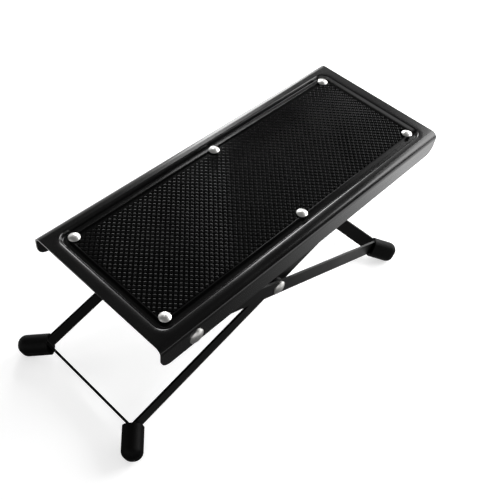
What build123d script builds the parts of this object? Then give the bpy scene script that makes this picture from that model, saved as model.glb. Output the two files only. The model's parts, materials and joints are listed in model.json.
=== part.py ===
"""Folding guitar footrest: a tilted steel tray with a rubber mat on two crossing leg frames.

Millimetres, +Z up, the floor at Z = 0. X runs along the tray, from the low end to the high end,
and the side at -Y is called near. The two leg frames are U-shaped flat bars. The long frame turns
on rivets in the tray's flanges, the short frame turns on the long one where their arms cross, and
the rod between the short frame's upper ends runs in the toothed racks under the tray.
"""
import os
from math import asin, atan2, cos, degrees, hypot, radians, sin, sqrt, tan

from build123d import *

# Tray
tray_length = 251.0
tray_width = 103.6
sheet = 1.0
flange_drop = 16.6
edge_radius = 4.5
flange_corner_radius = 7.0
rim_width = 7.8
recess_depth = 2.6
recess_corner_radius = 7.0
recess_wall_angle = 30.0
rim_fillet = 1.1
floor_fillet = 0.6

# Mat and its rivets
mat_end_channel = 4.7
mat_side_channel = 5.1
mat_thickness = 2.0
mat_corner_radius = 3.6
mat_edge_fillet = 0.3
mat_lip = 0.8
tread_height = 0.7
tread_end_gap = 0.5
tread_side_gap = 1.2
mat_rivets_along = 3
mat_rivet_end_inset = 3.25
mat_rivet_side_inset = 1.9
mat_rivet_head = 6.8
mat_rivet_rise = 1.5
mat_rivet_shank = 2.6
mat_rivet_tail = 5.4
mat_rivet_tail_depth = 0.9
mat_rivet_seat = 5.6
tread_to_rivet = 0.4

# Flat bar of both leg frames
bar_width = 11.0
bar_thickness = 1.5
bar_bend_radius = 1.2
ear_length = 12.5

# Long frame, with feet at the high end
pivot_from_tray_end = 24.4
pivot_depth = 10.6
crossing_from_pivot = 89.3
long_foot_from_crossing = 135.4
frame_step_in = 7.6
pad_length = 11.0
joggle_length = 14.0

# Short frame, with feet at the low end
short_foot_from_crossing = 122.6
rod_from_crossing = 124.0
crossing_washer_thickness = 2.0

# Pivot rivets
pivot_head = 9.6
pivot_head_rise = 2.3
pivot_shank = 4.6
pivot_tail = 7.6
pivot_tail_depth = 1.2
flange_washer_size = 10.0
flange_washer_thickness = 0.6
crossing_washer_size = 10.6

# Adjuster rod
rod_size = 4.5
rod_neck = 3.4
rod_head = 6.2
rod_head_rise = 0.9

# Height racks
rack_sheet = 1.5
rack_to_arm = 5.6
rack_flange_width = 11.0
rack_depth = 19.6
rack_end_wall = 2.2
rack_bend_radius = 1.0
rack_corner_radius = 3.0
notch_pitch = 7.3
notch_count = 5
notch_rise = 2.6
notch_lean = 15.0
rod_run_depth = 14.2
rod_run_clearance = 0.35
run_points = 7
notch_clearance = 0.22

# Boots
boot_length = 20.0
boot_width = 12.2
boot_height = 15.1
boot_side_radius = 5.8
boot_tip_fillet = 5.4
boot_mouth_fillet = 0.4
boot_seat = 1.6
boot_drop = 0.8
boot_pocket_clearance = 0.1

# Fits between pieces
turning_clearance = 0.06
fixed_clearance = 0.05
face_play = 0.05
cut_overrun = 3.0
brim_share = 0.22
mitre_turn = 45.0
tilt_rounds = 8
halving_rounds = 40
path_step = 0.5

# Fold of the long frame at rest, in degrees from the tray, and its travel from there
rest_fold = 25.1
fold_to_flat = 21.0
fold_to_highest = 20.7
short_follow_share = 0.8887


def short_angle_on_run(long_angle):
    """Angle of the short frame's arms to the tray, in degrees, with the rod on its run."""
    drop = crossing_from_pivot * sin(radians(long_angle)) + pivot_depth - rod_run_depth
    return degrees(asin(drop / rod_from_crossing))


rest_short = short_angle_on_run(rest_fold)
short_follow_ratio = short_follow_share * crossing_from_pivot / rod_from_crossing


def rod_place(fold):
    """The rod's centre in the tray's own X and Z, with the legs folded by `fold` degrees from rest."""
    long_angle = radians(rest_fold - fold)
    short_angle = radians(rest_short - short_follow_ratio * fold)
    along = crossing_from_pivot * cos(long_angle) + rod_from_crossing * cos(short_angle)
    down = crossing_from_pivot * sin(long_angle) - rod_from_crossing * sin(short_angle)
    return (pivot_x + along, -pivot_depth - down)


pivot_x = pivot_from_tray_end - tray_length / 2
half_inside = tray_width / 2 - sheet
pad_offset = half_inside - flange_washer_thickness - 2 * face_play
long_offset = tray_width / 2 - frame_step_in
short_offset = long_offset - bar_thickness - crossing_washer_thickness - 2 * face_play
arm_inside = short_offset - bar_thickness
rack_web = arm_inside - rack_to_arm
arm_end_radius = bar_width / 2 - fixed_clearance


def boot_reach(slope, direction_along, direction_up):
    """How far a boot reaches from its corner in one direction of the side view.

    `slope` is the arm's angle below the horizontal toward the foot, in degrees.
    """
    axis_along = cos(radians(slope)) / sqrt(2)
    axis_up = -sin(radians(slope)) / sqrt(2)
    up_along = sin(radians(slope))
    up_up = cos(radians(slope))
    forward = axis_along * direction_along + axis_up * direction_up
    sideways = cos(radians(slope)) / sqrt(2) * direction_along - sin(radians(slope)) / sqrt(2) * direction_up
    normal = up_along * direction_along + up_up * direction_up
    tip = boot_length - boot_seat - boot_tip_fillet
    half_wide = boot_width / 2 - boot_side_radius
    half_high = boot_height / 2 - boot_side_radius
    ring = boot_side_radius - boot_tip_fillet
    core = tip * forward + half_wide * abs(sideways) + half_high * abs(normal) - boot_drop * normal
    return core + ring * hypot(sideways, normal) + boot_tip_fillet


def feet_in_tray():
    """The corner points of both frames in the tray's X and Z: low end, then high end."""
    low_reach = short_foot_from_crossing - bar_thickness / 2
    high_reach = crossing_from_pivot + long_foot_from_crossing - bar_thickness / 2
    crossing = (
        pivot_x + crossing_from_pivot * cos(radians(rest_fold)),
        -pivot_depth - crossing_from_pivot * sin(radians(rest_fold)),
    )
    low = (
        crossing[0] - low_reach * cos(radians(rest_short)),
        crossing[1] - low_reach * sin(radians(rest_short)),
    )
    high = (
        pivot_x + high_reach * cos(radians(rest_fold)),
        -pivot_depth - high_reach * sin(radians(rest_fold)),
    )
    return low, high


def turned(point, angle):
    """A point of the tray's side view, turned by the tray's tilt."""
    x, z = point
    return (x * cos(radians(angle)) - z * sin(radians(angle)), x * sin(radians(angle)) + z * cos(radians(angle)))


def standing_tilt():
    """Tilt of the tray, in degrees, at which all four boots stand on the floor."""
    low, high = feet_in_tray()
    tilt = degrees(atan2(low[1] - high[1], high[0] - low[0]))
    for _ in range(tilt_rounds):
        low_under = turned(low, tilt)[1] - boot_reach(rest_short + tilt, 0, -1)
        high_under = turned(high, tilt)[1] - boot_reach(rest_fold - tilt, 0, -1)
        tilt += degrees(atan2(low_under - high_under, high[0] - low[0]))
    return tilt


tilt = standing_tilt()
low_corner, high_corner = (turned(corner, tilt) for corner in feet_in_tray())
tray_height = boot_reach(rest_short + tilt, 0, -1) - low_corner[1]
left_end = low_corner[0] - boot_reach(rest_short + tilt, 1, 0)
right_end = max(
    high_corner[0] + boot_reach(rest_fold - tilt, 1, 0),
    turned((tray_length / 2, 0), tilt)[0],
    turned((tray_length / 2 - flange_corner_radius, flange_corner_radius - flange_drop), tilt)[0]
    + flange_corner_radius,
)
tray = Plane(
    origin=(-(left_end + right_end) / 2, 0, tray_height),
    x_dir=(cos(radians(tilt)), 0, sin(radians(tilt))),
    z_dir=(-sin(radians(tilt)), 0, cos(radians(tilt))),
)
tray_up = Axis(tray.origin, tray.z_dir)
side = Plane(origin=tray.origin, x_dir=tray.x_dir, z_dir=-tray.y_dir)
across = Plane(origin=tray.origin, x_dir=tray.y_dir, z_dir=tray.x_dir)
pivot_point = side.from_local_coords(Vector(pivot_x, -pivot_depth, 0))
crossing_point = side.from_local_coords(
    Vector(
        pivot_x + crossing_from_pivot * cos(radians(rest_fold)),
        -pivot_depth - crossing_from_pivot * sin(radians(rest_fold)),
        0,
    )
)
rod_point = side.from_local_coords(Vector(*rod_place(0), 0))


def leg_plane(origin, slope, toward):
    """Plane of a leg frame: X along its arms to the foot, `slope` degrees below level, and Z upward."""
    along = Vector(toward * cos(radians(slope)), 0, -sin(radians(slope)))
    return Plane(origin=origin, x_dir=along, z_dir=along.cross(Vector(0, toward, 0)))


long_plane = leg_plane(pivot_point, rest_fold - tilt, 1)
short_plane = leg_plane(crossing_point, rest_short + tilt, -1)


def through_side(point):
    """Plane across the object at a pivot, its normal toward the near side."""
    return Plane(origin=point, x_dir=tray.x_dir, z_dir=(0, -1, 0))


def level(height):
    """Plane along the tray at a height over its rim."""
    return tray.offset(height)


# Top plate: a channel section with rolled edges, pressed down to a pan for the mat
wall_run = tan(radians(recess_wall_angle))
pan_growth = sheet / cos(radians(recess_wall_angle)) - sheet * wall_run
recess_length = tray_length - 2 * rim_width
recess_width = tray_width - 2 * rim_width
mat_length = recess_length - 2 * mat_end_channel
mat_width = recess_width - 2 * mat_side_channel
mat_rivet_places = GridLocations(
    (mat_length - 2 * mat_rivet_end_inset) / (mat_rivets_along - 1),
    mat_width - 2 * mat_rivet_side_inset,
    mat_rivets_along,
    2,
)

with BuildPart() as top_plate:
    with BuildSketch(across):
        with BuildLine():
            inner_radius = edge_radius - sheet
            half_outside = tray_width / 2
            Line((-half_outside, -flange_drop), (-half_outside, -edge_radius))
            RadiusArc((-half_outside, -edge_radius), (-half_outside + edge_radius, 0), edge_radius)
            Line((-half_outside + edge_radius, 0), (half_outside - edge_radius, 0))
            RadiusArc((half_outside - edge_radius, 0), (half_outside, -edge_radius), edge_radius)
            Line((half_outside, -edge_radius), (half_outside, -flange_drop))
            Line((half_outside, -flange_drop), (half_inside, -flange_drop))
            Line((half_inside, -flange_drop), (half_inside, -edge_radius))
            RadiusArc((half_inside, -edge_radius), (half_inside - inner_radius, -sheet), -inner_radius)
            Line((half_inside - inner_radius, -sheet), (-half_inside + inner_radius, -sheet))
            RadiusArc((-half_inside + inner_radius, -sheet), (-half_inside, -edge_radius), -inner_radius)
            Line((-half_inside, -edge_radius), (-half_inside, -flange_drop))
            Line((-half_inside, -flange_drop), (-half_outside, -flange_drop))
        make_face()
    extrude(amount=tray_length / 2, both=True)
    flange_ends = top_plate.edges().filter_by(Axis.Y).group_by(tray_up)[0]
    fillet(flange_ends, radius=flange_corner_radius)
    with BuildSketch(level(-sheet)):
        RectangleRounded(
            recess_length + 2 * pan_growth,
            recess_width + 2 * pan_growth,
            recess_corner_radius + pan_growth,
        )
    extrude(amount=-recess_depth, taper=recess_wall_angle)
    with BuildSketch(level(0)):
        RectangleRounded(recess_length, recess_width, recess_corner_radius)
    extrude(amount=-recess_depth, taper=recess_wall_angle, mode=Mode.SUBTRACT)
    recess_floor = top_plate.faces().filter_by(tray).group_by(tray_up)[-3].sort_by(SortBy.AREA)[-1]
    fillet(recess_floor.edges(), radius=floor_fillet)
    rim_face = top_plate.faces().filter_by(tray).group_by(tray_up)[-1].sort_by(SortBy.AREA)[-1]
    fillet(rim_face.inner_wires()[0].edges(), radius=rim_fillet)
    with BuildSketch(level(-recess_depth + cut_overrun)):
        with Locations(mat_rivet_places.local_locations):
            Circle(mat_rivet_shank / 2 + fixed_clearance)
    extrude(amount=-sheet - 2 * cut_overrun, mode=Mode.SUBTRACT)
    with BuildSketch(through_side(pivot_point).offset(tray_width / 2 + cut_overrun)):
        Circle(pivot_shank / 2 + fixed_clearance)
    extrude(amount=-tray_width - 2 * cut_overrun, mode=Mode.SUBTRACT)
top_plate.part.label = "top_plate"

# Rubber mat: a lip round its edge, and inside it the raised tread, cut out around the rivet heads
mat_top = level(mat_thickness - recess_depth)
with BuildPart() as rubber_mat:
    with BuildSketch(level(-recess_depth)):
        RectangleRounded(mat_length, mat_width, mat_corner_radius)
        with Locations(mat_rivet_places.local_locations):
            Circle(mat_rivet_shank / 2 + fixed_clearance, mode=Mode.SUBTRACT)
    extrude(amount=mat_thickness)
    mat_top_face = rubber_mat.faces().filter_by(tray).group_by(tray_up)[-1].sort_by(SortBy.AREA)[-1]
    fillet(mat_top_face.outer_wire().edges(), radius=mat_edge_fillet)
    with BuildSketch(mat_top):
        RectangleRounded(mat_length - 2 * mat_lip, mat_width - 2 * mat_lip, mat_corner_radius - mat_lip)
        with Locations(mat_rivet_places.local_locations):
            Circle(mat_rivet_seat / 2, mode=Mode.SUBTRACT)
    extrude(amount=-tread_height, mode=Mode.SUBTRACT)
    with BuildSketch(mat_top):
        Rectangle(mat_length - 2 * (mat_lip + tread_end_gap), mat_width - 2 * (mat_lip + tread_side_gap))
        with Locations(mat_rivet_places.local_locations):
            Circle(mat_rivet_head / 2 + tread_to_rivet, mode=Mode.SUBTRACT)
    extrude(amount=-tread_height)
rubber_mat.part.label = "rubber_mat"


def button(size, seat, height, brim_share):
    """Half outline of a domed head or tail: its brim stands on `seat`, its crown is `height` further."""
    brim = seat + height * brim_share
    TangentArc((0, seat + height), (size / 2, brim), tangent=(1, 0))
    Line((size / 2, brim), (size / 2, seat))


def rivet(plane, head, rise, shank, grip, tail, tail_depth):
    """Domed rivet: head seated on `plane`, shank `grip` long against its normal, and the upset tail."""
    turning = Plane(origin=plane.origin, x_dir=plane.x_dir, z_dir=-plane.y_dir)
    with BuildPart() as piece:
        with BuildSketch(turning):
            with BuildLine():
                button(head, 0, rise, brim_share)
                Line((head / 2, 0), (shank / 2, 0))
                Line((shank / 2, 0), (shank / 2, -grip))
                Line((shank / 2, -grip), (tail / 2, -grip))
                button(tail, -grip, -tail_depth, brim_share)
                Line((0, -grip - tail_depth), (0, rise))
            make_face()
        revolve(axis=Axis(plane.origin, plane.z_dir))
    return piece.part


# Six mat rivets, each through the mat and the tray's floor
with BuildPart() as mat_rivets:
    for seat in mat_rivet_places.local_locations:
        head_seat = Plane(mat_top * seat)
        grip = mat_thickness + sheet
        add(
            rivet(
                head_seat,
                mat_rivet_head,
                mat_rivet_rise,
                mat_rivet_shank,
                grip,
                mat_rivet_tail,
                mat_rivet_tail_depth,
            )
        )
mat_rivets.part.label = "mat_rivets"


def cross_holes(point, size, clearance):
    """Cut a round hole through both sides of the open piece, at a point of the side view."""
    with BuildSketch(through_side(point).offset(tray_width)) as bore:
        Circle(size / 2 + clearance)
    extrude(bore.sketch, amount=-2 * tray_width, mode=Mode.SUBTRACT)


def leg_frame(plane, outline, foot, frame_offset):
    """Flat bar on edge, bent along the far half of `outline`, its mirror image and both corner ears."""
    near_half = [(x, -y) for x, y in reversed(outline)]
    with BuildSketch(plane.offset(-bar_width / 2)) as bar:
        with BuildLine():
            FilletPolyline(*outline, *near_half, radius=bar_bend_radius + bar_thickness)
            offset(amount=bar_thickness, side=Side.RIGHT)
        make_face()
        half_bar = bar_thickness / 2
        for hand in (1, -1):
            with Locations(corner_place(foot, frame_offset, hand) * Location((-half_bar, 0, 0))):
                Rectangle(ear_length + half_bar, 2 * bar_thickness, align=(Align.MIN, Align.CENTER))
    extrude(bar.sketch, amount=bar_width)


def corner_place(foot, frame_offset, hand):
    """Where a frame's corner turns, its X along the outward diagonal; `hand` is the side of its plane."""
    half_bar = bar_thickness / 2
    return Location((foot - half_bar, hand * (frame_offset - half_bar), 0), (0, 0, hand * mitre_turn))


def round_arm_ends(piece, plane):
    """Round the free ends of both arms."""
    free_ends = piece.edges().filter_by(Axis.Y).group_by(Axis(plane.origin, plane.x_dir))[0]
    fillet(free_ends, radius=arm_end_radius)


# Long frame: its arms step inward past the flange pivots
long_foot = crossing_from_pivot + long_foot_from_crossing
with BuildPart() as long_leg_frame:
    long_outline = [
        (-bar_width / 2, pad_offset),
        (pad_length, pad_offset),
        (pad_length + joggle_length, long_offset),
        (long_foot, long_offset),
    ]
    leg_frame(long_plane, long_outline, long_foot, long_offset)
    round_arm_ends(long_leg_frame, long_plane)
    cross_holes(pivot_point, pivot_shank, turning_clearance)
    cross_holes(crossing_point, pivot_shank, turning_clearance)
long_leg_frame.part.label = "long_leg_frame"

# Short frame: a plain U that turns inside the long one
with BuildPart() as short_leg_frame:
    short_outline = [
        (-rod_from_crossing - bar_width / 2, short_offset),
        (short_foot_from_crossing, short_offset),
    ]
    leg_frame(short_plane, short_outline, short_foot_from_crossing, short_offset)
    round_arm_ends(short_leg_frame, short_plane)
    cross_holes(crossing_point, pivot_shank, turning_clearance)
    cross_holes(rod_point, rod_neck, fixed_clearance)
short_leg_frame.part.label = "short_leg_frame"

# Adjuster rod: turned down at both ends, which are riveted over outside the short frame's arms
with BuildPart() as adjuster_rod:
    along_rod = Plane(origin=rod_point, x_dir=tray.x_dir, z_dir=tray.z_dir)
    with BuildSketch(along_rod):
        with BuildLine():
            shoulder = arm_inside - face_play
            head_seat = short_offset + face_play
            Line((0, 0), (rod_size / 2, 0))
            Line((rod_size / 2, 0), (rod_size / 2, shoulder))
            Line((rod_size / 2, shoulder), (rod_neck / 2, shoulder))
            Line((rod_neck / 2, shoulder), (rod_neck / 2, head_seat))
            Line((rod_neck / 2, head_seat), (rod_head / 2, head_seat))
            button(rod_head, head_seat, rod_head_rise, brim_share)
            Line((0, head_seat + rod_head_rise), (0, 0))
        make_face()
    revolve(axis=Axis(rod_point, (0, 1, 0)))
    mirror(about=Plane.XZ)
adjuster_rod.part.label = "adjuster_rod"


def fold_with_rod_at(along):
    """The fold at which the rod stands at a distance along the tray, found by halving."""
    lower, upper = -fold_to_highest, fold_to_flat
    for _ in range(halving_rounds):
        middle = (lower + upper) / 2
        if rod_place(middle)[0] < along:
            lower = middle
        else:
            upper = middle
    return middle


def beside_path(fold, forward, above):
    """A point `forward` along the rod's path and `above` it, with the legs folded by `fold` degrees."""
    ahead = rod_place(fold + path_step)
    behind = rod_place(fold - path_step)
    length = hypot(ahead[0] - behind[0], ahead[1] - behind[1])
    along = (ahead[0] - behind[0]) / length
    up = (ahead[1] - behind[1]) / length
    x, z = rod_place(fold)
    return (x + forward * along - above * up, z + forward * up + above * along)


# Height racks: angle strips under the pan, each with a run for the rod and a notch for each height
run_width = rod_size + 2 * rod_run_clearance
notch_width = rod_size + 2 * notch_clearance
run_low = rod_place(-fold_to_highest)
run_high = rod_place(fold_to_flat)
rack_start = run_low[0] - run_width / 2 - rack_end_wall
rack_length = run_high[0] + run_width / 2 + rack_end_wall - rack_start
pan_under = -recess_depth - sheet


def height_rack(hand):
    """One rack; `hand` is 1 for the far side and -1 for the near side."""
    with BuildPart() as rack:
        with BuildSketch(across.offset(rack_start)):
            with BuildLine():
                tip = rack_web - rack_flange_width
                inner = rack_web - rack_sheet
                FilletPolyline(
                    (hand * tip, pan_under),
                    (hand * rack_web, pan_under),
                    (hand * rack_web, -rack_depth),
                    radius=rack_bend_radius + rack_sheet,
                )
                Line((hand * rack_web, -rack_depth), (hand * inner, -rack_depth))
                FilletPolyline(
                    (hand * inner, -rack_depth),
                    (hand * inner, pan_under - rack_sheet),
                    (hand * tip, pan_under - rack_sheet),
                    radius=rack_bend_radius,
                )
                Line((hand * tip, pan_under - rack_sheet), (hand * tip, pan_under))
            make_face()
        extrude(amount=rack_length)
        fillet(rack.edges().filter_by(Axis.Y).group_by(tray_up)[0], radius=rack_corner_radius)
        with BuildSketch(side.offset(-hand * rack_web - cut_overrun)):
            with BuildLine():
                fold_step = (fold_to_highest + fold_to_flat) / (run_points - 1)
                folds = [step * fold_step - fold_to_highest for step in range(run_points)]
                run_top = Spline(*[beside_path(fold, 0, run_width / 2) for fold in folds])
                run_bottom = Spline(*[beside_path(fold, 0, -run_width / 2) for fold in folds])
                low_end = beside_path(-fold_to_highest, -run_width / 2, 0)
                high_end = beside_path(fold_to_flat, run_width / 2, 0)
                ThreePointArc(run_top @ 0, low_end, run_bottom @ 0)
                ThreePointArc(run_top @ 1, high_end, run_bottom @ 1)
            make_face()
            for notch in range(notch_count):
                along = rod_place(0)[0] - notch * notch_pitch
                height = rod_place(fold_with_rod_at(along))[1]
                rise_along = notch_rise * sin(radians(notch_lean))
                rise_up = notch_rise * cos(radians(notch_lean))
                with Locations((along + rise_along / 2, height + rise_up / 2)):
                    SlotCenterToCenter(notch_rise, notch_width, rotation=2 * mitre_turn - notch_lean)
        extrude(amount=2 * cut_overrun + rack_sheet, mode=Mode.SUBTRACT)
    return rack.part


near_height_rack = height_rack(-1)
near_height_rack.label = "near_height_rack"
far_height_rack = height_rack(1)
far_height_rack.label = "far_height_rack"


def side_face(point, hand, distance):
    """Plane parallel to the object's sides at `distance` from the middle, its normal outward."""
    origin = Vector(point.X, hand * distance, point.Z)
    return Plane(origin=origin, x_dir=tray.x_dir, z_dir=(0, hand, 0))


def pivot_rivet(point, hand, outer, grip):
    """A pivot rivet with its head seated at `outer` from the middle."""
    seat = side_face(point, hand, outer)
    return rivet(seat, pivot_head, pivot_head_rise, pivot_shank, grip, pivot_tail, pivot_tail_depth)


def washer(point, hand, outer, size, thickness):
    """A flat washer on a pivot, its outer face at `outer` from the middle."""
    with BuildPart() as ring:
        with BuildSketch(side_face(point, hand, outer)):
            Circle(size / 2)
            Circle(pivot_shank / 2 + fixed_clearance, mode=Mode.SUBTRACT)
        extrude(amount=-thickness)
    return ring.part


def boot(plane, foot, frame_offset, hand):
    """Rubber boot pushed on a corner ear, with a pocket in the shape of the ear and the bars."""
    seat = Plane(plane * corner_place(foot, frame_offset, hand * plane.y_dir.Y))
    mouth = Plane(origin=seat.origin - seat.z_dir * boot_drop, x_dir=seat.y_dir, z_dir=seat.x_dir)
    pocket_half = bar_width / 2 + boot_pocket_clearance
    pocket_bar = bar_thickness + 2 * boot_pocket_clearance
    with BuildPart() as cap:
        with BuildSketch(mouth.offset(-boot_seat)):
            RectangleRounded(boot_width, boot_height, boot_side_radius)
        extrude(amount=boot_length)
        outward = Axis(seat.origin, seat.x_dir)
        fillet(cap.faces().sort_by(outward)[-1].edges(), radius=boot_tip_fillet)
        fillet(cap.faces().sort_by(outward)[0].edges(), radius=boot_mouth_fillet)
        with BuildSketch(seat.offset(-pocket_half)):
            Rectangle(
                ear_length + boot_pocket_clearance,
                bar_thickness + pocket_bar,
                align=(Align.MIN, Align.CENTER),
            )
            Rectangle(boot_length, bar_thickness + pocket_bar, align=(Align.MAX, Align.CENTER))
            for hand in (1, -1):
                Rectangle(
                    boot_length,
                    pocket_bar,
                    rotation=hand * 3 * mitre_turn,
                    align=(Align.MIN, Align.CENTER),
                )
        extrude(amount=2 * pocket_half, mode=Mode.SUBTRACT)
    return cap.part


pieces = [top_plate.part, rubber_mat.part, mat_rivets.part, long_leg_frame.part, short_leg_frame.part]
pieces += [adjuster_rod.part, near_height_rack, far_height_rack]
for name, hand in (("near", -1), ("far", 1)):
    flange_rivet = pivot_rivet(
        pivot_point, hand, tray_width / 2, sheet + flange_washer_thickness + bar_thickness + 3 * face_play
    )
    flange_rivet.label = f"{name}_flange_rivet"
    flange_washer = washer(
        pivot_point, hand, half_inside - face_play, flange_washer_size, flange_washer_thickness
    )
    flange_washer.label = f"{name}_flange_washer"
    crossing_rivet = pivot_rivet(
        crossing_point, hand, long_offset, 2 * bar_thickness + crossing_washer_thickness + 3 * face_play
    )
    crossing_rivet.label = f"{name}_crossing_rivet"
    crossing_washer = washer(
        crossing_point,
        hand,
        long_offset - bar_thickness - face_play,
        crossing_washer_size,
        crossing_washer_thickness,
    )
    crossing_washer.label = f"{name}_crossing_washer"
    left_boot = boot(short_plane, short_foot_from_crossing, short_offset, hand)
    left_boot.label = f"{name}_left_boot"
    right_boot = boot(long_plane, long_foot, long_offset, hand)
    right_boot.label = f"{name}_right_boot"
    pieces += [flange_rivet, flange_washer, crossing_rivet, crossing_washer, left_boot, right_boot]

os.makedirs("parts", exist_ok=True)
for piece in pieces:
    export_step(piece, f"parts/{piece.label}.step")
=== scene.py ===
"""Folding guitar footrest: its finishes, its moulded mat and mat rivets, and the studio round it.

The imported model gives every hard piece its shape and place, in metres with +Z up. X runs along the
tray to its higher end, and the side at -Y is called near. Sizes whose names end in _mm are in
millimetres, and all other lengths are in metres.
"""

import json
import logging
import math
from collections.abc import Callable, Iterator
from contextlib import contextmanager
from dataclasses import dataclass, field
from enum import Enum

import bmesh
import bpy
from mathutils import Matrix, Vector

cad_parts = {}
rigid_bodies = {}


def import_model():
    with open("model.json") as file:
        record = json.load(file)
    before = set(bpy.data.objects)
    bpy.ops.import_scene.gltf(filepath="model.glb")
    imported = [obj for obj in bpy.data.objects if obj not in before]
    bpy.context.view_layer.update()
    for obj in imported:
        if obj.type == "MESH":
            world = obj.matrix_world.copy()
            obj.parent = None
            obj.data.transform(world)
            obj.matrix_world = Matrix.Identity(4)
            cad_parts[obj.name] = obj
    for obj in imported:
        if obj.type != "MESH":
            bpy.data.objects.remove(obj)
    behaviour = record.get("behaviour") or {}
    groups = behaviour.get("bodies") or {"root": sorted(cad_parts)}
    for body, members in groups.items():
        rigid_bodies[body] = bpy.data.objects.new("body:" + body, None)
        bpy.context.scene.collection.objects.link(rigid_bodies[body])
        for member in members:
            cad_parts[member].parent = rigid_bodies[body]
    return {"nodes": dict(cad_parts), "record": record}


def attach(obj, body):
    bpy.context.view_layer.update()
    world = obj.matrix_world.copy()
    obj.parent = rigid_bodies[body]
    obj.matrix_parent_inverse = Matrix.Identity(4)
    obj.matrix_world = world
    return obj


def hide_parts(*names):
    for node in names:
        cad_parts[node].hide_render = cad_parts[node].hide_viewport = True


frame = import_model()

log = logging.getLogger("footrest")

MM_PER_METRE = 1000.0
WHITE = (1.0, 1.0, 1.0, 1.0)
# A direction counts as running along an axis when more than this share of it does.
MOSTLY = 0.9


class Body(Enum):
    """The three bodies that turn against each other."""

    TRAY = "tray"
    LONG_LEGS = "long_legs"
    SHORT_LEGS = "short_legs"


class Element(Enum):
    """What is picked in edit mode."""

    EDGE = "EDGE"
    FACE = "FACE"
    CORNER = "VERT"


def metres(size_mm: float) -> float:
    """A length in metres, from millimetres."""
    return size_mm / MM_PER_METRE


def linear(hex_colour: str) -> tuple[float, float, float, float]:
    """Turn an sRGB colour into the linear values that shaders take.

    Args:
        hex_colour: the colour as #rrggbb.

    Returns:
        Red, green, blue and alpha.
    """
    values = [int(hex_colour[start:start + 2], 16) / 255 for start in (1, 3, 5)]
    # The sRGB curve is a straight line near black and a power above it.
    red, green, blue = (v / 12.92 if v <= 0.04045 else ((v + 0.055) / 1.055) ** 2.4 for v in values)
    return (red, green, blue, 1.0)


def add_node(
    tree: bpy.types.NodeTree,
    kind: str,
    inputs: dict[str | int, object] | None = None,
    **settings: object,
) -> bpy.types.Node:
    """Add one shader node with its settings and links.

    Args:
        tree: the node tree of a material or of the world.
        kind: the node's type, without its ShaderNode prefix.
        inputs: for each input, by name or number, a value or the output that feeds it.
        settings: the node's own properties.

    Returns:
        The new node.
    """
    node = tree.nodes.new(f"ShaderNode{kind}")
    for name, value in settings.items():
        setattr(node, name, value)
    for name, value in (inputs or {}).items():
        if isinstance(value, bpy.types.NodeSocket):
            tree.links.new(value, node.inputs[name])
        else:
            node.inputs[name].default_value = value
    return node


def select_only(*pieces: bpy.types.Object) -> None:
    """Select some pieces and nothing else.

    Args:
        pieces: the pieces, of which the first becomes the active one.
    """
    bpy.ops.object.select_all(action="DESELECT")
    for piece in pieces:
        piece.select_set(True)
    bpy.context.view_layer.objects.active = pieces[0]


@contextmanager
def editing(piece: bpy.types.Object) -> Iterator[bpy.types.Object]:
    """Open one piece in edit mode with nothing selected, and close it again.

    Args:
        piece: the piece to edit.

    Returns:
        The piece, while it is open.
    """
    select_only(piece)
    bpy.ops.object.mode_set(mode="EDIT")
    bpy.ops.mesh.select_all(action="DESELECT")
    yield piece
    bpy.ops.object.mode_set(mode="OBJECT")


def pick(
    piece: bpy.types.Object, element: Element, test: Callable[[Vector, Vector], bool]
) -> None:
    """Select what passes a test, and nothing else, on the piece in edit mode.

    Args:
        piece: the piece that is open in edit mode.
        element: whether faces, edges or corners are picked.
        test: takes an element's middle and its direction, which is a face's or corner's normal and
            runs along an edge.
    """
    bpy.ops.mesh.select_all(action="DESELECT")
    bpy.ops.mesh.select_mode(type=element.value)
    shape = bmesh.from_edit_mesh(piece.data)
    if element is Element.FACE:
        found = [face for face in shape.faces if test(face.calc_center_median(), face.normal)]
    elif element is Element.EDGE:
        found = []
        for edge in shape.edges:
            start, end = (corner.co for corner in edge.verts)
            if test((start + end) / 2, (end - start).normalized()):
                found.append(edge)
    else:
        found = [corner for corner in shape.verts if test(corner.co, corner.normal)]
    for part in found:
        part.select_set(True)
    shape.select_flush_mode()
    bmesh.update_edit_mesh(piece.data)


def fix_place(piece: bpy.types.Object) -> None:
    """Put a piece's place, turn and size into its mesh."""
    select_only(piece)
    bpy.ops.object.transform_apply(location=True, rotation=True, scale=True)


def copied(piece: bpy.types.Object, shift: Vector) -> bpy.types.Object:
    """Copy a piece with its own mesh.

    Args:
        piece: the piece to copy.
        shift: how far the copy stands from it.

    Returns:
        The copy, with its place in its mesh.
    """
    select_only(piece)
    bpy.ops.object.duplicate(linked=False)
    copy = bpy.context.active_object
    copy.location = shift
    fix_place(copy)
    return copy


def joined(name: str, parts: list[bpy.types.Object]) -> bpy.types.Object:
    """Join parts into one piece.

    Args:
        name: the piece's name.
        parts: its parts, of which the first is kept.

    Returns:
        The piece.
    """
    select_only(*parts)
    bpy.ops.object.join()
    parts[0].name = name
    parts[0].data.name = name
    return parts[0]


def repeat(piece: bpy.types.Object, count: int, step: tuple[float, float, float]) -> None:
    """Repeat a piece's mesh in a straight row.

    Args:
        piece: the piece, which holds the whole row afterwards.
        count: how many times it stands in the row.
        step: the shift from each one to the next.
    """
    row = piece.modifiers.new("row", "ARRAY")
    row.count = count
    row.use_relative_offset = False
    row.use_constant_offset = True
    row.constant_offset_displace = step
    select_only(piece)
    bpy.ops.object.modifier_apply(modifier=row.name)


def smooth(piece: bpy.types.Object, angle_degrees: float) -> None:
    """Shade a piece smooth, and keep the edges sharp that turn more than the angle."""
    select_only(piece)
    bpy.ops.object.shade_smooth_by_angle(angle=math.radians(angle_degrees))


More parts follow.
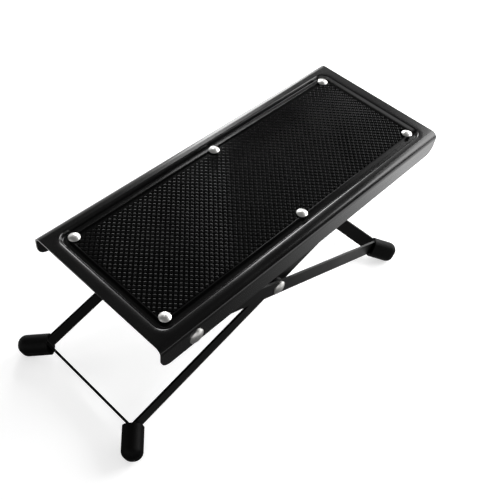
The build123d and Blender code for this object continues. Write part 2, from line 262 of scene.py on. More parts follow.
@dataclass
class TreadPlane:
    """The tread's plane: pieces are modelled on it lying flat, and then turned onto the tray."""

    centre: Vector = field(init=False)
    up: Vector = field(init=False)

    def __post_init__(self) -> None:
        """Read the plane from the record's mount for the foot."""
        mount = frame["record"]["mounts"][0]
        self.centre = Vector(mount["pos_m"])
        self.up = Vector(mount["axis"]).normalized()

    def matrix(self) -> Matrix:
        """Work out how a piece moves from the origin onto the tray.

        Returns:
            The turn and shift from lying flat at the origin to lying on the tray.
        """
        across = Vector((0.0, 1.0, 0.0))
        along = across.cross(self.up)
        turn = Matrix((along, across, self.up)).transposed().to_4x4()
        return Matrix.Translation(self.centre) @ turn

    def settle(self, piece: bpy.types.Object) -> None:
        """Lay a flat piece on the tray, with its place in its mesh."""
        piece.matrix_world = self.matrix()
        fix_place(piece)


@dataclass(frozen=True)
class Finish:
    """A surface as it was made: its colour and gloss, both a little uneven, and two sizes of relief.

    The cloud is the slow change of colour and gloss over the surface, the coarse relief is what light
    rolls over, and the fine relief is the grain.
    """

    name: str
    colour: str
    clouded_colour: str
    gloss_roughness: float
    dull_roughness: float
    cloud_mm: float
    coarse_mm: float
    coarse_depth_mm: float
    fine_mm: float
    fine_depth_mm: float
    metallic: float = 0.0
    specular_share: float = 0.5
    stretch: tuple[float, float, float] = (1.0, 1.0, 1.0)
    low_noise: float = 0.3
    high_noise: float = 0.7
    noise_detail: float = 3.0

    def material(self) -> bpy.types.Material:
        """Build the node material, with its patterns fixed to the piece at their real size.

        Returns:
            The material.
        """
        material = bpy.data.materials.new(self.name)
        material.use_nodes = True
        tree = material.node_tree
        tree.nodes.clear()
        shape = add_node(tree, "TexCoord").outputs["Object"]
        squeeze = [1.0 / times for times in self.stretch]
        place = add_node(tree, "Mapping", {"Vector": shape, "Scale": squeeze}).outputs["Vector"]
        cloud, coarse, fine = (
            add_node(tree, "TexNoise", {
                "Vector": place,
                "Scale": MM_PER_METRE / size_mm,
                "Detail": self.noise_detail,
            }).outputs["Fac"]
            for size_mm in (self.cloud_mm, self.coarse_mm, self.fine_mm)
        )
        share = add_node(tree, "MapRange", {
            "Value": cloud,
            "From Min": self.low_noise,
            "From Max": self.high_noise,
        }).outputs["Result"]
        tint = add_node(tree, "MixRGB", {
            "Fac": share,
            "Color1": linear(self.colour),
            "Color2": linear(self.clouded_colour),
        }).outputs["Color"]
        roughness = add_node(tree, "MapRange", {
            "Value": share,
            "To Min": self.gloss_roughness,
            "To Max": self.dull_roughness,
        }).outputs["Result"]
        rolling = add_node(tree, "Bump", {
            "Height": coarse,
            "Distance": metres(self.coarse_depth_mm),
            "Normal": self.formed(tree, shape),
        }).outputs["Normal"]
        grained = add_node(tree, "Bump", {
            "Height": fine,
            "Distance": metres(self.fine_depth_mm),
            "Normal": rolling,
        }).outputs["Normal"]
        shader = add_node(tree, "BsdfPrincipled", {
            "Base Color": tint,
            "Metallic": self.metallic,
            "Roughness": roughness,
            "Specular IOR Level": self.specular_share,
            "Normal": grained,
        })
        add_node(tree, "OutputMaterial", {"Surface": shader.outputs["BSDF"]})
        return material

    def formed(
        self, tree: bpy.types.NodeTree, shape: bpy.types.NodeSocket
    ) -> bpy.types.NodeSocket:
        """Give the way the surface faces before its relief.

        Args:
            tree: the material's node tree.
            shape: the place on the piece.

        Returns:
            The normal, which here is the modelled one.
        """
        return add_node(tree, "NewGeometry").outputs["Normal"]


@dataclass(frozen=True)
class SatinPowderCoat(Finish):
    """Black polyester powder, sprayed on pressed steel and baked.

    The powder flows out in the oven, which leaves a satin skin with a faint orange peel.
    """

    name: str = "satin_black_powder_coat"
    colour: str = "#050505"
    clouded_colour: str = "#070707"
    gloss_roughness: float = 0.17
    dull_roughness: float = 0.23
    cloud_mm: float = 34.0
    coarse_mm: float = 1.7
    coarse_depth_mm: float = 0.012
    fine_mm: float = 0.3
    fine_depth_mm: float = 0.0012


@dataclass(frozen=True)
class DrawnTrayCoat(SatinPowderCoat):
    """The tray's powder coat, over a rim that the press drew down towards the recess.

    The rim leans over its last few millimetres, which shades it from dark at its outer side to light
    along the recess. The draw is full at the low end and the near side, weaker at the high end, and
    the far side stayed flat.
    """

    name: str = "satin_black_powder_coat_on_drawn_rim"
    recess_length_mm: float = 235.4
    recess_width_mm: float = 88.0
    recess_corner_mm: float = 7.0
    reach_mm: float = 4.4
    # The rim's slope at the recess's outline, and how quickly it eases off with distance from there.
    steepest: float = 0.25
    tightness: float = 1.8
    high_end_share: float = 0.35
    far_side_share: float = 0.0

    def formed(
        self, tree: bpy.types.NodeTree, shape: bpy.types.NodeSocket
    ) -> bpy.types.NodeSocket:
        """Bend the rim over towards the recess.

        Args:
            tree: the material's node tree.
            shape: the place on the piece.

        Returns:
            The normal of the bent rim.
        """
        plane = TreadPlane()
        turn = (0.0, math.atan2(plane.up.x, plane.up.z), 0.0)
        level = add_node(tree, "Mapping", {
            "Vector": shape,
            "Location": plane.centre,
            "Rotation": turn,
        }, vector_type="TEXTURE").outputs["Vector"]
        beyond = self._beyond_core(tree, level)
        quarter = add_node(tree, "VectorMath", {0: level}, operation="SIGN").outputs["Vector"]
        signed = add_node(
            tree, "VectorMath", {0: beyond, 1: quarter}, operation="MULTIPLY"
        ).outputs["Vector"]
        outward = add_node(tree, "VectorMath", {0: signed}, operation="NORMALIZE").outputs["Vector"]
        lean = self._lean(tree, beyond, outward)
        back = add_node(
            tree, "Math", {0: lean, 1: -self.steepest}, operation="MULTIPLY"
        ).outputs["Value"]
        shift = add_node(
            tree, "VectorMath", {0: outward, "Scale": back}, operation="SCALE"
        ).outputs["Vector"]
        turned = add_node(
            tree, "Mapping", {"Vector": shift, "Rotation": turn}, vector_type="VECTOR"
        ).outputs["Vector"]
        flat = super().formed(tree, shape)
        bent = add_node(tree, "VectorMath", {0: flat, 1: turned}, operation="ADD").outputs["Vector"]
        return add_node(tree, "VectorMath", {0: bent}, operation="NORMALIZE").outputs["Vector"]

    def _beyond_core(
        self, tree: bpy.types.NodeTree, level: bpy.types.NodeSocket
    ) -> bpy.types.NodeSocket:
        """Measure out from the core, the rectangle between the centres of the recess's corners.

        Args:
            tree: the material's node tree.
            level: the place on the tread's plane, from the middle of the recess.

        Returns:
            How far the place lies beyond the core along the tray and across it, never below zero.
        """
        core = (
            metres(self.recess_length_mm / 2 - self.recess_corner_mm),
            metres(self.recess_width_mm / 2 - self.recess_corner_mm),
            0.0,
        )
        steps = (
            ("ABSOLUTE", {}),
            ("SUBTRACT", {1: core}),
            ("MAXIMUM", {1: (0.0, 0.0, 0.0)}),
            ("MULTIPLY", {1: (1.0, 1.0, 0.0)}),
        )
        beyond = level
        for operation, other in steps:
            beyond = add_node(
                tree, "VectorMath", {0: beyond, **other}, operation=operation
            ).outputs["Vector"]
        return beyond

    def _lean(
        self,
        tree: bpy.types.NodeTree,
        beyond: bpy.types.NodeSocket,
        outward: bpy.types.NodeSocket,
    ) -> bpy.types.NodeSocket:
        """Work out how strongly the rim leans at a place.

        Args:
            tree: the material's node tree.
            beyond: how far the place lies beyond the core.
            outward: the direction from the core to the place.

        Returns:
            The lean, from 1 at the recess's outline to 0 at the end of its reach and in the recess.
        """
        distance = add_node(tree, "VectorMath", {0: beyond}, operation="LENGTH").outputs["Value"]
        outside = add_node(
            tree, "Math", {0: distance, 1: metres(self.recess_corner_mm)}, operation="GREATER_THAN"
        ).outputs["Value"]
        nearness = add_node(tree, "MapRange", {
            "Value": distance,
            "From Min": metres(self.recess_corner_mm + self.reach_mm),
            "From Max": metres(self.recess_corner_mm),
            "To Max": outside,
        }).outputs["Result"]
        lean = add_node(
            tree, "Math", {0: nearness, 1: self.tightness}, operation="POWER"
        ).outputs["Value"]
        sides = add_node(tree, "SeparateXYZ", {"Vector": outward}).outputs
        for side, share in (("X", self.high_end_share), ("Y", self.far_side_share)):
            drawn = add_node(tree, "MapRange", {
                "Value": sides[side],
                "To Min": 1.0,
                "To Max": share,
            }).outputs["Result"]
            lean = add_node(tree, "Math", {0: lean, 1: drawn}, operation="MULTIPLY").outputs["Value"]
        return lean


@dataclass(frozen=True)
class BarEnamel(SatinPowderCoat):
    """Thin black enamel, dipped on the flat bars.

    It is duller than the tray's powder, and shows a little of the rolled steel's grain.
    """

    name: str = "dipped_black_enamel"
    colour: str = "#040404"
    clouded_colour: str = "#080808"
    gloss_roughness: float = 0.28
    dull_roughness: float = 0.38
    coarse_mm: float = 0.9
    specular_share: float = 0.16


@dataclass(frozen=True)
class TreadRubber(Finish):
    """Black rubber, pressed in a polished mould.

    The knobs come out smooth enough for their edges to catch the light.
    """

    name: str = "moulded_tread_rubber"
    colour: str = "#0a0a0a"
    clouded_colour: str = "#0f0f0f"
    gloss_roughness: float = 0.08
    dull_roughness: float = 0.12
    cloud_mm: float = 26.0
    coarse_mm: float = 1.1
    coarse_depth_mm: float = 0.008
    fine_mm: float = 0.22
    fine_depth_mm: float = 0.0015
    specular_share: float = 0.1


@dataclass(frozen=True)
class BootRubber(Finish):
    """Soft black rubber, moulded in a blasted tool.

    It is matt, much duller than the paint, with a fine even grain.
    """

    name: str = "matt_boot_rubber"
    colour: str = "#030303"
    clouded_colour: str = "#050505"
    gloss_roughness: float = 0.52
    dull_roughness: float = 0.66
    cloud_mm: float = 9.0
    coarse_mm: float = 1.6
    coarse_depth_mm: float = 0.03
    fine_mm: float = 0.32
    fine_depth_mm: float = 0.01
    specular_share: float = 0.09


@dataclass(frozen=True)
class BrightNickel(Finish):
    """Bright nickel on the upset steel rivets.

    It mirrors the room, softened by the marks of the riveting tool.
    """

    name: str = "bright_nickel_plate"
    colour: str = "#ecebe8"
    clouded_colour: str = "#e2e1de"
    gloss_roughness: float = 0.34
    dull_roughness: float = 0.44
    cloud_mm: float = 2.6
    coarse_mm: float = 1.3
    coarse_depth_mm: float = 0.008
    fine_mm: float = 0.2
    fine_depth_mm: float = 0.0008
    metallic: float = 1.0


@dataclass(frozen=True)
class ZincPlate(Finish):
    """Blue-white zinc on drawn steel wire.

    Its long fine marks run along the rod and spread every highlight across it.
    """

    name: str = "zinc_plated_drawn_rod"
    colour: str = "#c3c8cd"
    clouded_colour: str = "#aeb4ba"
    gloss_roughness: float = 0.28
    dull_roughness: float = 0.42
    cloud_mm: float = 1.5
    coarse_mm: float = 0.5
    coarse_depth_mm: float = 0.006
    fine_mm: float = 0.2
    fine_depth_mm: float = 0.002
    metallic: float = 1.0
    stretch: tuple[float, float, float] = (1.0, 30.0, 1.0)


@dataclass(frozen=True)
class BlackNylon(Finish):
    """Black nylon washers, moulded, with a dull waxy skin."""

    name: str = "black_nylon"
    colour: str = "#191919"
    clouded_colour: str = "#202020"
    gloss_roughness: float = 0.4
    dull_roughness: float = 0.5
    cloud_mm: float = 3.0
    coarse_mm: float = 0.8
    coarse_depth_mm: float = 0.01
    fine_mm: float = 0.2
    fine_depth_mm: float = 0.003


class Finishes(Enum):
    """The finishes of the footrest, each with its slot in the record."""

    TRAY_STEEL = ("black_steel", DrawnTrayCoat())
    BAR_STEEL = ("black_steel", BarEnamel())
    MAT_RUBBER = ("mat_rubber", TreadRubber())
    BOOT_RUBBER = ("boot_rubber", BootRubber())
    BRIGHT_STEEL = ("bright_steel", BrightNickel())
    PLATED_STEEL = ("plated_steel", ZincPlate())
    WASHER_NYLON = ("washer_nylon", BlackNylon())

    def __init__(self, slot: str, finish: Finish) -> None:
        """Name the slot and the finish that a member holds."""
        self.slot = slot
        self.finish = finish


class PaintShop:
    """Keeps one material for each finish and puts it on the pieces."""

    def __init__(self) -> None:
        """Start with no materials made."""
        self.made: dict[Finishes, bpy.types.Material] = {}

    def material(self, choice: Finishes) -> bpy.types.Material:
        """Give the material of a finish, made at its first use.

        Args:
            choice: the finish.

        Returns:
            Its material.
        """
        if choice not in self.made:
            self.made[choice] = choice.finish.material()
        return self.made[choice]

    def dress_node(self, node: str, choice: Finishes) -> None:
        """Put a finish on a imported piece.

        Args:
            node: the piece's name.
            choice: the finish.
        """
        piece = frame["nodes"][node]
        for place in piece.material_slots:
            place.link = "OBJECT"
            place.material = self.material(choice)
        log.info("%s: %s", node, choice.finish.name)

    def dress_new(self, piece: bpy.types.Object, choice: Finishes, body: Body) -> None:
        """Put a finish on a piece modelled here, and let it ride on its body.

        Args:
            piece: the piece, with its place in its mesh.
            choice: the finish.
            body: the body that carries it.
        """
        piece.data.materials.clear()
        piece.data.materials.append(self.material(choice))
        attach(piece, body.value)
        log.info("%s: %s, %d faces", piece.name, choice.finish.name, len(piece.data.polygons))


@dataclass
class RivetPattern:
    """Where the six mat rivets stand on the tread."""

    along_mm: float = 109.75
    across_mm: float = 37.0

    def places(self) -> list[Vector]:
        """Work out where the rivets stand.

        Returns:
            The six places, lying flat.
        """
        return [
            Vector((metres(column * self.along_mm), metres(row * self.across_mm), 0.0))
            for column in (-1, 0, 1)
            for row in (-1, 1)
        ]


@dataclass
class MouldedMat:
    """The rubber mat: a lip round a shallow tray of square knobs that stand on their corners."""

    plane: TreadPlane
    rivets: RivetPattern
    length_mm: float = 226.0
    width_mm: float = 77.8
    thickness_mm: float = 2.0
    corner_radius_mm: float = 3.6
    lip_mm: float = 0.75
    lip_edge_mm: float = 0.2
    groove_mm: float = 1.0
    knob_period_along_mm: float = 3.85
    knob_period_across_mm: float = 3.95
    knob_base_mm: float = 3.4
    knob_top_mm: float = 2.5
    knob_edge_mm: float = 0.28
    knob_root_mm: float = 0.05
    knob_foot_share: float = 0.1
    field_start_mm: float = -111.9
    field_end_mm: float = 112.1
    field_near_mm: float = -37.5
    field_far_mm: float = 36.2
    seat_mm: float = 5.6
    seat_edge_mm: float = 0.15
    seat_sides: int = 40
    corner_steps: int = 8
    edge_steps: int = 2
    smooth_degrees: float = 15.0

    def build(self) -> bpy.types.Object:
        """Model the mat lying flat and settle it on the tray.

        Returns:
            The finished mat.
        """
        mat = joined("moulded_rubber_mat", [self._sheet(), self._seats(), self._knobs()])
        smooth(mat, self.smooth_degrees)
        self.plane.settle(mat)
        return mat

    def _sheet(self) -> bpy.types.Object:
        """Model the sheet with its rounded corners, its lip and the groove inside it.

        Returns:
            The sheet, with its top at the origin.
        """
        size = (metres(self.length_mm), metres(self.width_mm), metres(self.thickness_mm))
        bpy.ops.mesh.primitive_cube_add(size=1.0, location=(0.0, 0.0, -size[2] / 2))
        sheet = bpy.context.active_object
        sheet.scale = size
        fix_place(sheet)
        with editing(sheet):
            pick(sheet, Element.EDGE, lambda middle, way: abs(way.z) > MOSTLY)
            bpy.ops.mesh.bevel(
                offset=metres(self.corner_radius_mm), segments=self.corner_steps, affect="EDGES"
            )
            pick(sheet, Element.FACE, lambda middle, normal: normal.z > MOSTLY)
            bpy.ops.mesh.inset(thickness=metres(self.lip_mm), depth=0.0)
            bpy.ops.mesh.extrude_region_move(
                TRANSFORM_OT_translate={"value": (0.0, 0.0, -metres(self.groove_mm))}
            )
            pick(sheet, Element.EDGE, self._on_lip)
            bpy.ops.mesh.bevel(
                offset=metres(self.lip_edge_mm), segments=self.edge_steps, affect="EDGES"
            )
        return sheet

    def _on_lip(self, middle: Vector, way: Vector) -> bool:
        """Tell whether an edge is one of those that run round the top of the lip.

        Args:
            middle: the edge's middle.
            way: the edge's direction.

        Returns:
            True for an edge at the mat's top that runs along the lip, and not across it.
        """
        if middle.z < -metres(self.lip_edge_mm):
            return False
        beyond_x = abs(middle.x) - metres(self.length_mm / 2 - self.corner_radius_mm)
        beyond_y = abs(middle.y) - metres(self.width_mm / 2 - self.corner_radius_mm)
        outward = Vector((
            math.copysign(max(beyond_x, 0.0), middle.x),
            math.copysign(max(beyond_y, 0.0), middle.y),
        ))
        return abs(way.xy.normalized().dot(outward.normalized())) < MOSTLY

    def _rise_mm(self) -> float:
        """The height of a knob or a seat, with its root in the groove's floor."""
        return self.groove_mm + self.knob_root_mm

    def _seats(self) -> bpy.types.Object:
        """Model the flat seat under each rivet's head.

        Returns:
            The six seats as one piece.
        """
        depth = metres(self._rise_mm())
        bpy.ops.mesh.primitive_cylinder_add(
            vertices=self.seat_sides,
            radius=metres(self.seat_mm / 2),
            depth=depth,
            location=(0.0, 0.0, -depth / 2),
        )
        seat = bpy.context.active_object
        fix_place(seat)
        with editing(seat):
            pick(seat, Element.FACE, lambda middle, normal: normal.z > MOSTLY)
            bpy.ops.mesh.bevel(
                offset=metres(self.seat_edge_mm), segments=self.edge_steps, affect="EDGES"
            )
        seats = [copied(seat, place) for place in self.rivets.places()]
        bpy.data.objects.remove(seat)
        return joined("rivet_seats", seats)

    def _knob(self) -> bpy.types.Object:
        """Model one knob: a square pyramid with its tip cut off and its edges eased.

        Returns:
            The knob, with its top at the origin.
        """
        depth = metres(self._rise_mm())
        foot = -depth * (1.0 - self.knob_foot_share)
        bpy.ops.mesh.primitive_cone_add(
            vertices=4,
            radius1=metres(self.knob_base_mm / 2),
            radius2=metres(self.knob_top_mm / 2),
            depth=depth,
            location=(0.0, 0.0, -depth / 2),
        )
        knob = bpy.context.active_object
        fix_place(knob)
        with editing(knob):
            pick(knob, Element.EDGE, lambda middle, way: middle.z > foot)
            bpy.ops.mesh.bevel(
                offset=metres(self.knob_edge_mm), segments=self.edge_steps, affect="EDGES"
            )
        return knob

    def _knobs(self) -> bpy.types.Object:
        """Repeat the knob over the field, with a second knob between each four.

        Returns:
            All the knobs as one piece.
        """
        along = metres(self.knob_period_along_mm)
        across = metres(self.knob_period_across_mm)
        start = Vector((metres(self.field_start_mm), metres(self.field_far_mm), 0.0))
        between = start + Vector((along / 2, -across / 2, 0.0))
        knob = self._knob()
        pair = [copied(knob, place) for place in (start, between)]
        bpy.data.objects.remove(knob)
        knobs = joined("knobs", pair)
        columns = math.ceil(metres(self.field_end_mm - self.field_start_mm) / along) + 1
        rows = math.ceil(metres(self.field_far_mm - self.field_near_mm) / across) + 1
        repeat(knobs, columns, (along, 0.0, 0.0))
        repeat(knobs, rows, (0.0, -across, 0.0))
        self._trim(knobs)
        return knobs

    def _trim(self, knobs: bpy.types.Object) -> None:
        """Cut the knobs off at the field's edges, and clear those that meet a rivet's seat.

        Args:
            knobs: all the knobs as one piece.
        """
        edges = (
            (Vector((metres(self.field_start_mm), 0.0, 0.0)), Vector((-1.0, 0.0, 0.0))),
            (Vector((metres(self.field_end_mm), 0.0, 0.0)), Vector((1.0, 0.0, 0.0))),
            (Vector((0.0, metres(self.field_near_mm), 0.0)), Vector((0.0, -1.0, 0.0))),
            (Vector((0.0, metres(self.field_far_mm), 0.0)), Vector((0.0, 1.0, 0.0))),
        )
        seat_reach = metres(self.seat_mm / 2)
        places = self.rivets.places()
        with editing(knobs):
            for point, outward in edges:
                bpy.ops.mesh.select_all(action="SELECT")
                bpy.ops.mesh.bisect(
                    plane_co=point, plane_no=outward, use_fill=True, clear_outer=True
                )
            pick(knobs, Element.CORNER, lambda point, normal: any(
                (point.xy - place.xy).length < seat_reach for place in places
            ))
            bpy.ops.mesh.select_linked()
            bpy.ops.mesh.delete(type="VERT")


@dataclass
class MatRivets:
    """Six domed rivets through the mat, with the setting tool's dimple and a rolled tail."""

    plane: TreadPlane
    pattern: RivetPattern
    head_mm: float = 6.8
    brim_mm: float = 0.33
    rise_mm: float = 1.5
    dimple_mm: float = 0.8
    dimple_depth_mm: float = 0.16
    # Rings down into the dimple: the share of its half width, and the share of its depth.
    dimple_shares: tuple[tuple[float, float], ...] = ((0.75, 0.7), (0.3, 1.0))
    shank_mm: float = 2.6
    grip_mm: float = 3.0
    tail_mm: float = 5.4
    tail_depth_mm: float = 0.9
    tail_hole_mm: float = 2.0
    # Rings over the tail's roll: how far each stands in from the tail's rim or out from its hole,
    # and its share of the tail's depth.
    tail_rim_share: float = 0.4
    roll_rim_mm: tuple[float, ...] = (0.25, 0.6)
    roll_rim_shares: tuple[float, ...] = (0.75, 0.95)
    roll_hole_mm: tuple[float, ...] = (0.35, 0.1, 0.0)
    roll_hole_shares: tuple[float, ...] = (1.0, 0.9, 0.6)
    hole_floor_share: float = 0.9
    hole_floor_mm: float = 0.1
    sides: int = 40
    dome_rings: int = 9
    smooth_degrees: float = 35.0

    def build(self) -> bpy.types.Object:
        """Model one rivet, copy it to the six places and settle them on the tray.

        Returns:
            The six rivets as one piece.
        """
        rivet = self._rivet()
        rivets = [copied(rivet, place) for place in self.pattern.places()]
        bpy.data.objects.remove(rivet)
        group = joined("bright_mat_rivets", rivets)
        smooth(group, self.smooth_degrees)
        self.plane.settle(group)
        return group

    def _rivet(self) -> bpy.types.Object:
        """Turn one rivet out of a disc: its head upwards, then its shank and its tail.

        Returns:
            The rivet, with the underside of its head at the origin.
        """
        bpy.ops.mesh.primitive_cylinder_add(
            vertices=self.sides,
            radius=metres(self.head_mm / 2),
            depth=metres(self.brim_mm),
            location=(0.0, 0.0, metres(self.brim_mm / 2)),
        )
        rivet = bpy.context.active_object
        fix_place(rivet)
        wider = self.tail_mm / self.shank_mm
        with editing(rivet):
            pick(rivet, Element.FACE, lambda middle, normal: normal.z > MOSTLY)
            self._rings(self._head_profile(), 1)
            pick(rivet, Element.FACE, lambda middle, normal: normal.z < -MOSTLY)
            self._rings([(self.head_mm / 2, 0.0), (self.shank_mm / 2, 0.0)], -1)
            self._extrude_down(self.grip_mm)
            self._extrude_down(0.0)
            bpy.ops.transform.resize(
                value=(wider, wider, 1.0), center_override=(0.0, 0.0, -metres(self.grip_mm))
            )
            self._extrude_down(self.tail_depth_mm * self.tail_rim_share)
            self._rings(self._tail_profile(), -1)
        return rivet

    def _head_profile(self) -> list[tuple[float, float]]:
        """Draw the head from its brim over its dome to the foot of its dimple.

        Returns:
            Each ring's radius and height, in millimetres.
        """
        half = self.head_mm / 2
        crown = self.rise_mm - self.brim_mm
        dome_radius = (half**2 + crown**2) / (2 * crown)
        centre = self.rise_mm - dome_radius
        edge = self.dimple_mm / 2
        radii = [half + (edge - half) * ring / self.dome_rings for ring in range(self.dome_rings + 1)]
        profile = [(radius, centre + math.sqrt(dome_radius**2 - radius**2)) for radius in radii]
        top = profile[-1][1]
        for radius_share, depth_share in self.dimple_shares:
            profile.append((edge * radius_share, top - self.dimple_depth_mm * depth_share))
        return profile

    def _tail_profile(self) -> list[tuple[float, float]]:
        """Draw the tail from its rim over its roll into its hole.

        Returns:
            Each ring's radius and depth, in millimetres.
        """
        rim = self.tail_mm / 2
        hole = self.tail_hole_mm / 2
        radii = [rim]
        radii += [rim - inward for inward in self.roll_rim_mm]
        radii += [hole + outward for outward in self.roll_hole_mm]
        shares = (self.tail_rim_share, *self.roll_rim_shares, *self.roll_hole_shares)
        profile = [(radius, self.tail_depth_mm * share) for radius, share in zip(radii, shares)]
        profile.append((hole * self.hole_floor_share, self.hole_floor_mm))
        return profile

    def _extrude_down(self, depth_mm: float) -> None:
        """Extrude the selected round face straight down."""
        shift = (0.0, 0.0, -metres(depth_mm))
        bpy.ops.mesh.extrude_region_move(TRANSFORM_OT_translate={"value": shift})

    def _rings(self, profile: list[tuple[float, float]], upward: int) -> None:
        """Step the selected round face inward along a profile.

        Args:
            profile: radius and height in millimetres, starting at the selected face.
            upward: 1 for heights that rise from the mat, and -1 for depths that go down.
        """
        flat_share = math.cos(math.pi / self.sides)
        for (radius, height), (next_radius, next_height) in zip(profile, profile[1:]):
            bpy.ops.mesh.inset(thickness=metres(radius - next_radius) * flat_share, depth=0.0)
            rise = upward * metres(next_height - height)
            bpy.ops.transform.translate(value=(0.0, 0.0, rise))


@dataclass
class Tray:
    """The pressed tray with its mat, mat rivets, pivots and height racks."""

    shop: PaintShop

    def build(self) -> None:
        """Dress the tray's steel, and lay the moulded mat and its rivets in it."""
        for node in ("top_plate", "near_height_rack", "far_height_rack"):
            self.shop.dress_node(node, Finishes.TRAY_STEEL)
        for hand in ("near", "far"):
            self.shop.dress_node(f"{hand}_flange_rivet", Finishes.BRIGHT_STEEL)
            self.shop.dress_node(f"{hand}_flange_washer", Finishes.WASHER_NYLON)
        self.shop.dress_node("rubber_mat", Finishes.MAT_RUBBER)
        self.shop.dress_node("mat_rivets", Finishes.BRIGHT_STEEL)
        plane = TreadPlane()
        pattern = RivetPattern()
        mat = MouldedMat(plane, pattern).build()
        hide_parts("rubber_mat")
        self.shop.dress_new(mat, Finishes.MAT_RUBBER, Body.TRAY)
        rivets = MatRivets(plane, pattern).build()
        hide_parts("mat_rivets")
        self.shop.dress_new(rivets, Finishes.BRIGHT_STEEL, Body.TRAY)


@dataclass
class LegFrames:
    """Both folding frames, with the rivets of their crossing, the rod and the four boots."""

    shop: PaintShop

    def build(self) -> None:
        """Dress the two frames and everything that turns with them."""
        for node in ("long_leg_frame", "short_leg_frame"):
            self.shop.dress_node(node, Finishes.BAR_STEEL)
        self.shop.dress_node("adjuster_rod", Finishes.PLATED_STEEL)
        for hand in ("near", "far"):
            self.shop.dress_node(f"{hand}_crossing_rivet", Finishes.BRIGHT_STEEL)
            self.shop.dress_node(f"{hand}_crossing_washer", Finishes.WASHER_NYLON)
            for end in ("left", "right"):
                self.shop.dress_node(f"{hand}_{end}_boot", Finishes.BOOT_RUBBER)


@dataclass(frozen=True)
class Camera:
    """The camera, at the photograph's viewing angle.

    Its place and its two directions were worked out from where the mat's rivets and the tray's
    corners stand in the photograph.
    """

    place: tuple[float, float, float] = (-0.272826, -0.194199, 0.384597)
    right: tuple[float, float, float] = (0.668886, -0.727080, 0.154752)
    up: tuple[float, float, float] = (0.450480, 0.562070, 0.693645)
    lens_mm: float = 51.426
    sensor_mm: float = 36.0
    nearest: float = 0.01

    def build(self) -> None:
        """Place the camera and make it the scene's own."""
        camera = bpy.data.cameras.new("camera")
        camera.lens = self.lens_mm
        camera.sensor_width = self.sensor_mm
        camera.clip_start = self.nearest
        holder = bpy.data.objects.new("camera", camera)
        bpy.context.scene.collection.objects.link(holder)
        right = Vector(self.right).normalized()
        back = right.cross(Vector(self.up)).normalized()
        up = back.cross(right)
        turn = Matrix((right, up, back)).transposed().to_4x4()
        holder.matrix_world = Matrix.Translation(self.place) @ turn
        bpy.context.scene.camera = holder
        log.info("camera: %.1f mm lens", self.lens_mm)


@dataclass(frozen=True)
class Softbox:
    """A soft flat lamp that faces a point, which is on the tray unless it is told another."""

    name: str
    place: tuple[float, float, float]
    width: float
    height: float
    power: float
    aim: tuple[float, float, float] = (0.0, 0.0, 0.1)

    def build(self) -> None:
        """Hang the lamp in its place and turn it to its aim."""
        lamp = bpy.data.lights.new(self.name, "AREA")
        lamp.shape = "RECTANGLE"
        lamp.size = self.width
        lamp.size_y = self.height
        lamp.energy = self.power
        holder = bpy.data.objects.new(self.name, lamp)
        bpy.context.scene.collection.objects.link(holder)
        holder.location = self.place
        away = Vector(self.place) - Vector(self.aim)
        holder.rotation_euler = away.to_track_quat("Z", "Y").to_euler()
        log.info("%s: %.2f by %.2f m", self.name, self.width, self.height)


@dataclass(frozen=True)
class GlossOnlyReflectionCard:
    """A card on the floor that glows for glossy surfaces only: a painted reflection, dark at its low
    end, bright at its high end.

    It paints into black goods the reflections that black and white cards would give, but it lights
    nothing and casts no shadow. It stays dark up to one place, and brightens from there to another,
    slowly at first.
    """

    low_x: float = -0.6
    high_x: float = 0.7
    near_y: float = -0.7
    far_y: float = 0.06
    height: float = 0.0012
    dark_until: float = -0.04
    bright_from: float = 0.24
    dark: float = 0.09
    bright: float = 1.75
    gathering: float = 2.2

    def build(self) -> None:
        """Lay the card and hide it from every ray but the glossy ones."""
        bpy.ops.mesh.primitive_plane_add(size=1.0)
        card = bpy.context.active_object
        card.name = "painted_reflection_card"
        card.scale = (self.high_x - self.low_x, self.far_y - self.near_y, 1.0)
        middle = ((self.low_x + self.high_x) / 2, (self.near_y + self.far_y) / 2)
        card.location = (*middle, self.height)
        fix_place(card)
        # Painted reflection: the card glows, and only glossy rays see it.
        card.visible_camera = False
        card.visible_diffuse = False
        card.visible_transmission = False
        card.visible_shadow = False
        card.data.materials.append(self._glow())
        log.info("%s: strength %.2f to %.2f", card.name, self.dark, self.bright)

    def _glow(self) -> bpy.types.Material:
        """Build the card's glow, a painted reflection graded along the tray.

        Returns:
            The material.
        """
        material = bpy.data.materials.new("painted_reflection_card")
        material.use_nodes = True
        tree = material.node_tree
        tree.nodes.clear()
        place = add_node(tree, "TexCoord").outputs["Object"]
        along = add_node(tree, "SeparateXYZ", {"Vector": place}).outputs["X"]
        share = add_node(tree, "MapRange", {
            "Value": along,
            "From Min": self.dark_until,
            "From Max": self.bright_from,
        }).outputs["Result"]
        gathered = add_node(
            tree, "Math", {0: share, 1: self.gathering}, operation="POWER"
        ).outputs["Value"]
        strength = add_node(tree, "MapRange", {
            "Value": gathered,
            "To Min": self.dark,
            "To Max": self.bright,
        }).outputs["Result"]
        # Painted reflection: a glow that is dark at the low end and bright at the high end.
        glow = add_node(tree, "Emission", {"Color": WHITE, "Strength": strength})
        add_node(tree, "OutputMaterial", {"Surface": glow.outputs["Emission"]})
        return material


def mirrored_rays(tree: bpy.types.NodeTree) -> bpy.types.NodeSocket:
    """Tell the rays that leave a mirror or pass through glass from the rest.

    Args:
        tree: the node tree of a material or of the world.

    Returns:
        1 for those rays, and 0 for the rest.
    """
    rays = add_node(tree, "LightPath").outputs
    kinds = {0: rays["Is Glossy Ray"], 1: rays["Is Transmission Ray"]}
    return add_node(tree, "Math", kinds, operation="MAXIMUM").outputs["Value"]


